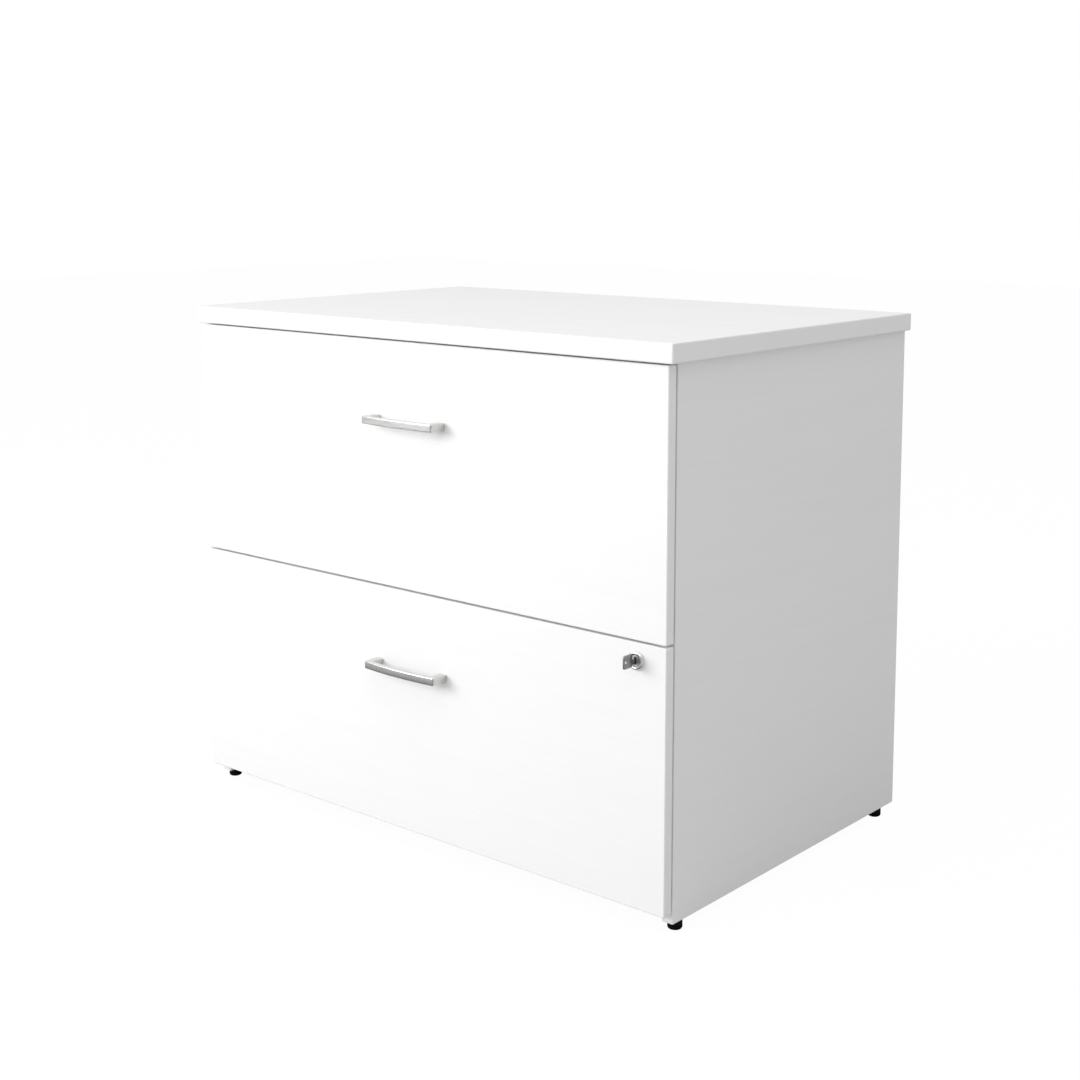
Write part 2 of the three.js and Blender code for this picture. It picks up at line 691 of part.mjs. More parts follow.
addPiece(lock, "lock_key", keyBlank, keySteel);

export default cabinet;
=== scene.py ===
import math

import bmesh
import bpy
from mathutils import Matrix, Vector


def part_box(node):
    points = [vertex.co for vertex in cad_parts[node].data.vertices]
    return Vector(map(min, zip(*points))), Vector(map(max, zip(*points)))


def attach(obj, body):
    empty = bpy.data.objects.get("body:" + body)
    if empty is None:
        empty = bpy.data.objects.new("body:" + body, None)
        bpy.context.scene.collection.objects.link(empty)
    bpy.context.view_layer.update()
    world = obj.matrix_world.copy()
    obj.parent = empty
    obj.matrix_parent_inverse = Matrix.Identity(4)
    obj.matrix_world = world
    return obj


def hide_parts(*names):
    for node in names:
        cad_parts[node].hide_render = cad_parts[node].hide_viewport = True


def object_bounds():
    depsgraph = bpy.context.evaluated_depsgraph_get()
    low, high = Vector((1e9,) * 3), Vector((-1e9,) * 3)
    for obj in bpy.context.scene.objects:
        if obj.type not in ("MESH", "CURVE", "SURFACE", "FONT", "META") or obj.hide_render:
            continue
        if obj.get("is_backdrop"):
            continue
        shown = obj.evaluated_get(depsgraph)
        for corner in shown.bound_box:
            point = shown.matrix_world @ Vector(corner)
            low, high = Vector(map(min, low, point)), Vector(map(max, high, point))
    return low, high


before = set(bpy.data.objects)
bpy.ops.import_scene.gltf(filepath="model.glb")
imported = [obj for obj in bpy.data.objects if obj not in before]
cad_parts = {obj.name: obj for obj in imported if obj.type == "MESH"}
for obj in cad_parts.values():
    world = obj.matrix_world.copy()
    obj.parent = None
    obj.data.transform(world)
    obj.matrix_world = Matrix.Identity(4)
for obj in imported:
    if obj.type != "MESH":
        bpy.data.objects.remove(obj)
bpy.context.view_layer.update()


# Side panels: 18 mm particle board faced with white melamine paper, a faint grain pressed into it
# from front to back, and closed with thin edge banding. Every other board of the case hangs on them.

class Wire:
    """A shader socket that takes part in plain arithmetic and feeds further nodes."""

    def __init__(self, tree, socket=None):
        self.tree = tree
        self.socket = socket

    def add(self, kind, settings=None, inputs=None, output=0):
        node = self.tree.nodes.new(kind)
        for name, value in (settings or {}).items():
            setattr(node, name, value)
        for name, value in (inputs or {}).items():
            if isinstance(value, Wire):
                self.tree.links.new(value.socket, node.inputs[name])
            else:
                node.inputs[name].default_value = value
        return Wire(self.tree, node.outputs[output] if node.outputs else None)

    def maths(self, operation, first, second):
        return self.add("ShaderNodeMath", {"operation": operation}, {0: first, 1: second})

    def __add__(self, other):
        return self.maths("ADD", self, other)

    def __radd__(self, other):
        return self.maths("ADD", other, self)

    def __sub__(self, other):
        return self.maths("SUBTRACT", self, other)

    def __rsub__(self, other):
        return self.maths("SUBTRACT", other, self)

    def __mul__(self, other):
        return self.maths("MULTIPLY", self, other)

    def __rmul__(self, other):
        return self.maths("MULTIPLY", other, self)

    def least(self, other):
        return self.maths("MINIMUM", self, other)

    def most(self, other):
        return self.maths("MAXIMUM", self, other)


def new_finish(name, **constants):
    """A material of one Principled shader, with its constant sockets set, and a wire to build on."""
    finish = bpy.data.materials.new(name)
    finish.use_nodes = True
    shader = finish.node_tree.nodes["Principled BSDF"]
    for socket, value in constants.items():
        shader.inputs[socket.replace("_", " ")].default_value = value
    return finish, shader, Wire(finish.node_tree)


def feed(shader, **wires):
    for socket, wire in wires.items():
        wire.tree.links.new(wire.socket, shader.inputs[socket.replace("_", " ")])


def object_place(start):
    return start.add("ShaderNodeTexCoord", output="Object")


def noise(start, place, scale, detail=3.0, roughness=0.55):
    """Noise from 0 to 1, with a scale for each axis in features per metre."""
    stretched = start.add("ShaderNodeVectorMath", {"operation": "MULTIPLY"}, {0: place, 1: scale})
    values = {"Vector": stretched, "Scale": 1.0, "Detail": detail, "Roughness": roughness}
    return start.add("ShaderNodeTexNoise", {}, values, "Fac")


def blend(start, share, first, second):
    """A colour between two others, by share from 0 to 1."""
    values = {"Factor": share, 6: first, 7: second}
    return start.add("ShaderNodeMix", {"data_type": "RGBA"}, values, 2)


def smooth_step(start, value, low, high):
    values = {"Value": value, "From Min": low, "From Max": high}
    settings = {"interpolation_type": "SMOOTHSTEP"}
    return start.add("ShaderNodeMapRange", settings, values)


def bumped(start, height, distance, strength=1.0):
    return start.add("ShaderNodeBump", {}, {"Height": height, "Distance": distance, "Strength": strength})


def grain_scale(axis, along, across):
    return tuple(along if name == axis else across for name in "xyz")


def arris(start, place, low, high):
    """How near a point of a board is to one of its arrises, from the board's own corners, in metres."""
    parts = start.add("ShaderNodeSeparateXYZ", {}, {"Vector": place})
    depths = []
    for axis, (a, b) in enumerate(zip(low, high)):
        along = Wire(start.tree, parts.socket.node.outputs[axis])
        depths.append((along - a).least(b - along))
    x, y, z = depths
    return x.least(y).most(x.most(y).least(z))


MELAMINE = (0.885, 0.885, 0.882, 1)
MELAMINE_GRAIN = (0.860, 0.861, 0.860, 1)
MELAMINE_RUBBED = (0.80, 0.80, 0.795, 1)
RUBBED_BORDER = 0.0022
RUBBED_CORE = 0.0006


def melamine(node, grain):
    """White laminate for one board: grain along an axis, pressed pores, and arrises a little rubbed."""
    finish, shader, start = new_finish(node + "_melamine", Specular_IOR_Level=0.42)
    place = object_place(start)
    streaks = noise(start, place, grain_scale(grain, 7, 620), 4)
    bands = noise(start, place, grain_scale(grain, 1.3, 34), 2)
    pores = noise(start, place, grain_scale(grain, 900, 2400), 2)
    clouds = noise(start, place, (5, 5, 5), 2)
    edge = smooth_step(start, arris(start, place, *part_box(node)), RUBBED_BORDER, RUBBED_CORE)
    rubbed = edge * smooth_step(start, noise(start, place, (60, 60, 60), 4), 0.42, 0.66)
    figure = smooth_step(start, streaks * 0.6 + bands * 0.4, 0.36, 0.66)
    paper = blend(start, figure * 0.75 + clouds * 0.25, MELAMINE, MELAMINE_GRAIN)
    colour = blend(start, rubbed * 0.5, paper, MELAMINE_RUBBED)
    feed(
        shader,
        Base_Color=colour,
        Roughness=0.40 + figure * 0.10 + clouds * 0.06 - edge * 0.08,
        Normal=bumped(start, streaks * 0.5 + pores * 0.5, 0.00012, 0.35),
    )
    return finish


def dress(node, finish):
    """Puts a finish on a CAD node that keeps its own shape."""
    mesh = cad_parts[node].data
    mesh.materials.clear()
    mesh.materials.append(finish)


for side in ("left", "right"):
    dress(side + "_side_panel", melamine(side + "_side_panel", "y"))


# Bottom panel and rails: the same board, doweled and cam-bolted between the sides. The two flat rails
# tie the sides together under the top, and the upright one closes the gap between the drawers.

for board in ("bottom_panel", "front_top_rail", "rear_top_rail", "middle_rail"):
    dress(board, melamine(board, "x"))


# Back panel: 6 mm hardboard with a white printed face, slid down grooves in the sides and up into
# one in the top. Its fibre shows through the paint as a fine mottle.

HARDBOARD = (0.80, 0.80, 0.785, 1)
HARDBOARD_FIBRE = (0.735, 0.733, 0.715, 1)


def painted_hardboard(name):
    finish, shader, start = new_finish(name, Specular_IOR_Level=0.35)
    place = object_place(start)
    fibre = noise(start, place, (420, 420, 420), 5, 0.65)
    clouds = noise(start, place, (9, 9, 9), 3)
    mottle = smooth_step(start, fibre * 0.7 + clouds * 0.3, 0.36, 0.66)
    feed(
        shader,
        Base_Color=blend(start, mottle, HARDBOARD, HARDBOARD_FIBRE),
        Roughness=0.55 + mottle * 0.15,
        Normal=bumped(start, fibre, 0.00015, 0.4),
    )
    return finish


back_finish = painted_hardboard("painted_hardboard")
dress("back_panel", back_finish)


# Levelling feet: black nylon glides with a rounded sole, moulded round a threaded steel stem that
# screws into the lower edge of a side panel.

def turned(profile, centre, axis, steps=72):
    """A shape turned from (radius, distance) pairs about a line through centre along axis, in metres."""
    bm = bmesh.new()
    axis = Vector(axis)
    out = axis.orthogonal().normalized()
    points = [bm.verts.new(Vector(centre) + out * radius + axis * distance) for radius, distance in profile]
    rims = [bm.edges.new(pair) for pair in zip(points, points[1:])]
    bmesh.ops.spin(
        bm, geom=points + rims, cent=centre, axis=axis, angle=math.tau, steps=steps, use_merge=True
    )
    bmesh.ops.remove_doubles(bm, verts=bm.verts, dist=1e-6)
    bmesh.ops.recalc_face_normals(bm, faces=bm.faces)
    return bm


def made_piece(name, bm, finish, body, replaced=(), crease=35):
    """The object of a finished mesh: smooth but for creases, riding on its body."""
    mesh = bpy.data.meshes.new(name)
    for face in bm.faces:
        face.smooth = True
    bm.to_mesh(mesh)
    bm.free()
    mesh.set_sharp_from_angle(angle=math.radians(crease))
    mesh.materials.append(finish)
    piece = bpy.data.objects.new(name, mesh)
    bpy.context.scene.collection.objects.link(piece)
    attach(piece, body)
    if replaced:
        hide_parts(*replaced)
    return piece


def quarter(centre, radius, start, turn, steps=5):
    """Points of an arc as (radius, distance) pairs, angles in degrees."""
    angles = [math.radians(start + turn * i / steps) for i in range(steps + 1)]
    return [(centre[0] + radius * math.cos(a), centre[1] + radius * math.sin(a)) for a in angles]


NYLON = (0.0025, 0.0025, 0.0028, 1)
NYLON_SCUFFED = (0.016, 0.016, 0.017, 1)


def nylon(name):
    finish, shader, start = new_finish(name, Specular_IOR_Level=0.22)
    place = object_place(start)
    skin = noise(start, place, (1500, 1500, 1500), 3)
    scuffs = smooth_step(start, noise(start, place, (160, 160, 700), 4), 0.55, 0.72)
    feed(
        shader,
        Base_Color=blend(start, scuffs * 0.5, NYLON, NYLON_SCUFFED),
        Roughness=0.42 + skin * 0.12 + scuffs * 0.12,
        Normal=bumped(start, skin, 0.0001, 0.4),
    )
    return finish


foot_finish = nylon("black_nylon")
FOOT_PAD = 0.0115
FOOT_STEM = 0.0040
STEM_EASE = 0.0008
SOLE_ROUND = 0.0032
PAD_ROUND = 0.0012
GROOVE_DEPTH = 0.0004
GROOVE_LOW = FOOT_PAD - 0.0036
GROOVE_HIGH = FOOT_PAD - 0.0020
for row in ("front", "rear"):
    for side in ("left", "right"):
        foot = f"{row}_{side}_foot"
        low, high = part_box(foot)
        radius = (high.x - low.x) / 2
        middle = Vector(((low.x + high.x) / 2, (low.y + high.y) / 2, 0))
        profile = [
            (0, 0),
            (radius - SOLE_ROUND, 0),
            *quarter((radius - SOLE_ROUND, SOLE_ROUND), SOLE_ROUND, -90, 90, 8),
            (radius, GROOVE_LOW),
            (radius - GROOVE_DEPTH, GROOVE_LOW + GROOVE_DEPTH),
            (radius - GROOVE_DEPTH, GROOVE_HIGH - GROOVE_DEPTH),
            (radius, GROOVE_HIGH),
            *quarter((radius - PAD_ROUND, FOOT_PAD - PAD_ROUND), PAD_ROUND, 0, 90, 4),
            (FOOT_STEM, FOOT_PAD),
            (FOOT_STEM, high.z - STEM_EASE),
            (FOOT_STEM - STEM_EASE, high.z),
            (0, high.z),
        ]
        bm = turned(profile, middle, (0, 0, 1))
        made_piece(foot + "_glide", bm, foot_finish, foot, [foot])


# Ball slides: three channels rolled from zinc-plated strip, one inside the next, with the faint lines
# of the rolls along them. The balls run in pressed retainers between the channels.

def rolled_zinc(name, colour, bloom_colour):
    finish, shader, start = new_finish(name, Metallic=1.0)
    place = object_place(start)
    lines = noise(start, place, grain_scale("y", 6, 1500), 4)
    bloom = noise(start, place, (70, 25, 70), 4, 0.6)
    cloudy = smooth_step(start, bloom, 0.35, 0.7)
    feed(
        shader,
        Base_Color=blend(start, cloudy * 0.6 + lines * 0.4, colour, bloom_colour),
        Roughness=0.24 + cloudy * 0.14 + lines * 0.10,
        Normal=bumped(start, lines, 0.00006, 0.35),
    )
    return finish


ZINC = (0.66, 0.68, 0.70, 1)
ZINC_BLOOM = (0.52, 0.54, 0.57, 1)
RETAINER_STEEL = (0.72, 0.73, 0.74, 1)
RETAINER_BLOOM = (0.60, 0.61, 0.62, 1)
zinc_finish = rolled_zinc("rolled_zinc", ZINC, ZINC_BLOOM)
ball_finish = rolled_zinc("retainer_steel", RETAINER_STEEL, RETAINER_BLOOM)
SLIDE_LENGTH = 0.500
SLIDE_SHEET = 0.0012
SLIDE_SCREWS = 0.190
RETAINER_LENGTH = 0.160
RETAINER_SHEET = 0.0006
RETAINER_FOLD = 0.0008
RETAINER_FOLD_DROP = 0.00085
RETAINER_LIP = 0.0020
OUTER_WEB = 0.0020
INNER_WEB = 0.0044
BALL = 0.0017
BALLS_IN_ROW = 8
OUTER_BALL = Vector((0.0062, 0, 0.01885))
INNER_BALL = Vector((0.0078, 0, 0.0134))
SLOT_MARGIN = 0.004
BEND_SHARE = 0.42
MIDDLE_SLOTS = ((-0.170, 0.012, 0.034),)
SCREW_SLOTS = ((-SLIDE_SCREWS, 0.005, 0.009), (SLIDE_SCREWS, 0.005, 0.009))
CABINET_LINE = (
    (0.0008, 0.0198), (0.0022, 0.0212), (0.0046, 0.0212), (0.0054, 0.0219),
    (0.0070, 0.0219), (0.0078, 0.0212), (0.0094, 0.0212), (0.0104, 0.0196),
)
MIDDLE_LINE = ((0.0032, 0.0148), (0.0044, 0.0162), (0.0096, 0.0162), (0.0104, 0.0150))
DRAWER_LINE = ((0.0121, 0.0094), (0.0109, 0.0106), (0.0060, 0.0106), (0.0060, 0.0086))


def parts_of(geometry, kind):
    return [part for part in geometry if isinstance(part, kind)]


def drawn_on(bm, edges, move, scale=1):
    """Extrudes a chain of edges, scaled about the upright axis and then moved, and gives the new chain."""
    grown = bmesh.ops.extrude_edge_only(bm, edges=edges)["geom"]
    verts = parts_of(grown, bmesh.types.BMVert)
    bmesh.ops.scale(bm, verts=verts, vec=(scale, scale, 1))
    bmesh.ops.translate(bm, verts=verts, vec=move)
    return parts_of(grown, bmesh.types.BMEdge)


def rolled_channel(line, sheet, length, slots=()):
    """Strip rolled to a line, given as its upper half, with slots (place, width, length) in its web."""
    bm = bmesh.new()
    upper = [Vector((x, -length / 2, z)) for x, z in line]
    lower = [Vector((x, -length / 2, -z)) for x, z in reversed(line)]
    points = [bm.verts.new(point) for point in lower + upper]
    chain = [bm.edges.new(pair) for pair in zip(points, points[1:])]
    reached = -length / 2
    stops = [place + side * (run / 2 + SLOT_MARGIN) for place, width, run in slots for side in (-1, 1)]
    for stop in stops + [length / 2]:
        chain = drawn_on(bm, chain, (0, stop - reached, 0))
        reached = stop
    for place, width, run in slots:
        middle = Vector((line[0][0], place, 0))
        web = min(bm.faces, key=lambda face: (face.calc_center_median() - middle).length)
        rim = list(web.edges)
        bmesh.ops.delete(bm, geom=[web], context="FACES_ONLY")
        upright = Matrix.Translation(middle) @ Matrix.Rotation(math.pi / 2, 4, "Y")
        ring = bmesh.ops.create_circle(bm, segments=16, radius=width / 2, matrix=upright)["verts"]
        for side in (-1, 1):
            end = [vert for vert in ring if (vert.co.y - place) * side > 1e-6]
            bmesh.ops.translate(bm, verts=end, vec=(0, side * (run - width) / 2, 0))
        slot = list({edge for vert in ring for edge in vert.link_edges})
        bmesh.ops.bridge_loops(bm, edges=rim + slot)
    bends = [edge for edge in bm.edges if len(edge.link_faces) == 2 and edge.calc_face_angle() > 0.1]
    bmesh.ops.bevel(
        bm, geom=bends, offset=sheet * BEND_SHARE, affect="EDGES", segments=3, profile=0.5, material=-1,
        clamp_overlap=True,
    )
    bmesh.ops.recalc_face_normals(bm, faces=bm.faces)
    bm.normal_update()
    for vert in bm.verts:
        vert.co += vert.normal * (vert.calc_shell_factor() * sheet / 2)
    bmesh.ops.solidify(bm, geom=bm.faces[:], thickness=sheet)
    return bm


def ball_retainer(web, ball):
    """A thin strip folded round a channel, with a row of balls in each of its flanges."""
    fold = (web, ball.z - RETAINER_FOLD_DROP)
    line = (fold, (web + RETAINER_FOLD, ball.z), (ball.x + RETAINER_LIP, ball.z))
    bm = rolled_channel(line, RETAINER_SHEET, RETAINER_LENGTH)
    for i in range(BALLS_IN_ROW):
        along = ((i + 0.5) / BALLS_IN_ROW - 0.5) * RETAINER_LENGTH
        for side in (-1, 1):
            seat = Matrix.Translation((ball.x, along, side * ball.z))
            bmesh.ops.create_uvsphere(bm, u_segments=14, v_segments=8, radius=BALL, matrix=seat)
    return bm


def slide_place(level, side):
    """Where a slide's middle lies on its side panel. The right slide is the left one turned round."""
    low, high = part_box(f"{level}_{side}_cabinet_member")
    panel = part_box(side + "_side_panel")
    wall = panel[1].x if side == "left" else panel[0].x
    turn = Matrix.Rotation(0 if side == "left" else math.pi, 4, "Z")
    return Matrix.Translation((wall, (low.y + high.y) / 2, (low.z + high.z) / 2)) @ turn


for level in ("upper", "lower"):
    for side in ("left", "right"):
        slide = {
            "cabinet_member": (rolled_channel(CABINET_LINE, SLIDE_SHEET, SLIDE_LENGTH, SCREW_SLOTS), "case"),
            "middle_member": (
                rolled_channel(MIDDLE_LINE, SLIDE_SHEET, SLIDE_LENGTH, MIDDLE_SLOTS),
                level + "_middle_members",
            ),
            "drawer_member": (
                rolled_channel(DRAWER_LINE, SLIDE_SHEET, SLIDE_LENGTH, SCREW_SLOTS),
                level + "_drawer",
            ),
            "outer_ball_retainer": (ball_retainer(OUTER_WEB, OUTER_BALL), level + "_outer_retainers"),
            "inner_ball_retainer": (ball_retainer(INNER_WEB, INNER_BALL), level + "_inner_retainers"),
        }
        for part, (bm, body) in slide.items():
            bmesh.ops.transform(bm, matrix=slide_place(level, side), verts=bm.verts)
            node = f"{level}_{side}_{part}"
            finish, slot = (ball_finish, "ball_steel") if "ball" in part else (zinc_finish, "zinc_steel")
            made_piece(node.replace("_" + part, "_rolled_" + part), bm, finish, body, [node])


# Slide screws: small ones sunk in the slots of the cabinet members, so that the ball retainers pass
# over them, and pan-headed ones through the drawer members into the box sides. All are cross-headed.

SCREW_ZINC = (0.62, 0.63, 0.64, 1)
SCREW_BLOOM = (0.48, 0.49, 0.50, 1)
screw_finish = rolled_zinc("screw_zinc", SCREW_ZINC, SCREW_BLOOM)
CROWN_SHARE = 0.72
SHOULDER_SCALE = 1.30
RIM_SCALE = 1.068
SHOULDER_DROP = 0.35
RIM_DROP = 0.65
CROSS_ARM = 0.50
CROSS_BLADE = 0.13
CROSS_TAPER = 0.80
CROSS_DEPTH = 0.55
PANEL_SCREW = (0.0024, 0.0011, 0.0018, 0.012)
PANEL_SCREW_SEAT = 0.0002
BOX_SCREW = (0.0040, 0.0022, 0.0019, 0.010)
BOX_SCREW_SEAT = 0.0115


def pan_screw(bm, seat, outward, head_radius, head_height, shank_radius, shank_length):
    """Adds a screw whose head stands on seat and faces along outward, with its shank behind."""
    own = bmesh.new()
    crown_radius = head_radius * CROWN_SHARE
    crown = bmesh.ops.create_circle(own, segments=24, radius=crown_radius)["verts"]
    bmesh.ops.translate(own, verts=crown, vec=(0, 0, head_height))
    rim = own.edges[:]
    arm = head_radius * CROSS_ARM
    blade = head_radius * CROSS_BLADE
    recess = []
    for i in range(4):
        spoke = Matrix.Rotation(i * math.pi / 2, 3, "Z")
        for x, y in ((blade, blade), (blade, arm), (-blade, arm)):
            recess.append(own.verts.new(spoke @ Vector((x, y, head_height))))
    cross = [own.edges.new(pair) for pair in zip(recess, recess[1:] + recess[:1])]
    bmesh.ops.bridge_loops(own, edges=rim + cross)
    pit = drawn_on(own, cross, (0, 0, -head_height * CROSS_DEPTH), CROSS_TAPER)
    bmesh.ops.edgeloop_fill(own, edges=pit)
    shoulder = drawn_on(own, rim, (0, 0, -head_height * SHOULDER_DROP), SHOULDER_SCALE)
    skirt = drawn_on(own, shoulder, (0, 0, -head_height * RIM_DROP), RIM_SCALE)
    skirt_radius = crown_radius * SHOULDER_SCALE * RIM_SCALE
    neck = drawn_on(own, skirt, (0, 0, 0), shank_radius / skirt_radius)
    shank_end = drawn_on(own, neck, (0, 0, -shank_length))
    bmesh.ops.edgeloop_fill(own, edges=shank_end)
    bmesh.ops.recalc_face_normals(own, faces=own.faces)
    turn = Vector(outward).to_track_quat("Z", "Y").to_matrix().to_4x4()
    bmesh.ops.transform(own, matrix=Matrix.Translation(seat) @ turn, verts=own.verts)
    pattern = bpy.data.meshes.new("screw_pattern")
    own.to_mesh(pattern)
    own.free()
    bm.from_mesh(pattern)
    bpy.data.meshes.remove(pattern)


for level in ("upper", "lower"):
    for side in ("left", "right"):
        place = slide_place(level, side)
        inward = place.to_3x3() @ Vector((1, 0, 0))
        fixed = bmesh.new()
        moving = bmesh.new()
        for along in (-SLIDE_SCREWS, SLIDE_SCREWS):
            pan_screw(fixed, place @ Vector((PANEL_SCREW_SEAT, along, 0)), inward, *PANEL_SCREW)
            pan_screw(moving, place @ Vector((BOX_SCREW_SEAT, along, 0)), -inward, *BOX_SCREW)
        made_piece(f"{level}_{side}_panel_screws", fixed, screw_finish, "case")
        made_piece(f"{level}_{side}_box_screws", moving, screw_finish, level + "_drawer")


# Drawer boxes: 12 mm board in a plain off-white paper, doweled at the corners, with a hardboard
# bottom let into grooves all round.

BOX_PAPER = (0.79, 0.785, 0.765, 1)
BOX_PAPER_GRAIN = (0.745, 0.738, 0.715, 1)


def box_paper(name, grain):
    finish, shader, start = new_finish(name, Specular_IOR_Level=0.38)
    place = object_place(start)
    streaks = noise(start, place, grain_scale(grain, 9, 480), 4)
    clouds = noise(start, place, (7, 7, 7), 3)
    figure = smooth_step(start, streaks * 0.7 + clouds * 0.3, 0.35, 0.68)
    feed(
        shader,
        Base_Color=blend(start, figure, BOX_PAPER, BOX_PAPER_GRAIN),
        Roughness=0.50 + figure * 0.12,
        Normal=bumped(start, streaks, 0.0001, 0.35),
    )
    return finish


box_across = box_paper("box_paper_across", "x")
box_along = box_paper("box_paper_along", "y")
for level in ("upper", "lower"):
    dress(level + "_box_bottom", back_finish)
    for board in ("front", "back"):
        dress(f"{level}_box_{board}", box_across)
    for side in ("left", "right"):
        dress(f"{level}_box_{side}_side", box_along)


# File rails: flat steel bars with a hook pressed at each end, dipped in dark grey paint. Hanging
# folders ride on them, so they are polished a little, in streaks along their length.

RAIL_PAINT = (0.030, 0.031, 0.033, 1)
RAIL_RUBBED = (0.085, 0.086, 0.09, 1)


def dipped_paint(name):
    finish, shader, start = new_finish(name, Specular_IOR_Level=0.5)
    place = object_place(start)
    peel = noise(start, place, (900, 900, 900), 3)
    rub = smooth_step(start, noise(start, place, (35, 300, 300), 5), 0.52, 0.75)
    feed(
        shader,
        Base_Color=blend(start, rub, RAIL_PAINT, RAIL_RUBBED),
        Roughness=0.34 + peel * 0.16 + rub * 0.1,
        Normal=bumped(start, peel, 0.00012, 0.4),
    )
    return finish


rail_finish = dipped_paint("dipped_paint")
for level in ("upper", "lower"):
    for row in ("front", "rear"):
        dress(f"{level}_{row}_file_rail", rail_finish)


# Drawer fronts: board like the sides, banded on all four edges, screwed to the boxes from inside.
# The grain runs across, and both fronts are cut from one length so that it matches.

for level in ("upper", "lower"):
    dress(level + "_drawer_front", melamine(level + "_drawer_front", "x"))


# Front fixings: pan-head screws from inside each box front into its drawer front, and rubber bumpers
# stuck to the back of the front, where it meets the edges of the side panels.

FRONT_SCREW = (0.0042, 0.0024, 0.0020, 0.022)
FRONT_SCREWS_ACROSS = (-0.330, -0.180, 0.180, 0.330)
FRONT_SCREW_INSET = 0.060
BUMPER_RADIUS = 0.0045
BUMPER_WALL = 0.0012
BUMPER_ROUND = 0.0018
BUMPER_INSET = 0.030
rubber_finish = nylon("bumper_rubber")
bumper_profile = [
    (0, 0),
    (BUMPER_RADIUS, 0),
    (BUMPER_RADIUS, BUMPER_WALL),
    *quarter((BUMPER_RADIUS - BUMPER_ROUND, BUMPER_WALL), BUMPER_ROUND, 0, 90),
    (0, BUMPER_WALL + BUMPER_ROUND),
]
for level in ("upper", "lower"):
    low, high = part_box(level + "_box_front")
    screws = bmesh.new()
    for across in FRONT_SCREWS_ACROSS:
        for up in (low.z + FRONT_SCREW_INSET, high.z - FRONT_SCREW_INSET):
            pan_screw(screws, Vector((across, high.y, up)), (0, 1, 0), *FRONT_SCREW)
    made_piece(level + "_front_screws", screws, screw_finish, level + "_drawer")
    low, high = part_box(level + "_drawer_front")
    for side in ("left", "right"):
        edge_low, edge_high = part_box(side + "_side_panel")
        for row, up in (("low", low.z + BUMPER_INSET), ("high", high.z - BUMPER_INSET)):
            seat = Vector(((edge_low.x + edge_high.x) / 2, high.y, up))
            bm = turned(bumper_profile, seat, (0, 1, 0), 32)
            name = f"{level}_{side}_{row}_bumper"
            made_piece(name, bm, rubber_finish, level + "_drawer")


# Handles: solid zinc castings, an arched flat bar on two legs that widen to the drawer front. They
# are brushed lengthwise, plated in satin nickel, and held by a machine screw in each leg.

NICKEL = (0.715, 0.715, 0.705, 1)
NICKEL_STREAK = (0.545, 0.545, 0.54, 1)


def brushed_nickel(name, axis):
    finish, shader, start = new_finish(name, Metallic=1.0)
    place = object_place(start)
    brushing = noise(start, place, grain_scale(axis, 18, 2600), 4, 0.6)
    strokes = noise(start, place, grain_scale(axis, 45, 900), 3)
    tarnish = noise(start, place, (55, 55, 55), 3)
    mixed = brushing * 0.65 + strokes * 0.35
    feed(
        shader,
        Base_Color=blend(start, smooth_step(start, mixed, 0.36, 0.64), NICKEL, NICKEL_STREAK),
        Roughness=0.16 + mixed * 0.14 + tarnish * 0.05,
        Normal=bumped(start, mixed, 0.00008, 0.3),
    )
    return finish


handle_finish = brushed_nickel("brushed_nickel", "x")
HANDLE_SHOULDER = 0.0675
HANDLE_HEEL = 0.0690
HANDLE_LEG = 0.0130
HANDLE_BAR = 0.0075
HANDLE_END_REACH = 0.0262
HANDLE_ARMPIT = 0.0588
HANDLE_ARMPIT_REACH = 0.0191
HANDLE_SEAT = 0.0003
SHOULDER_ROUND = 0.0020
ARMPIT_ROUND = 0.0052
HANDLE_TOP_ARRIS = 0.0014
HANDLE_LOW_ARRIS = 0.0013
OUTER_STEPS = 32
INNER_STEPS = 20


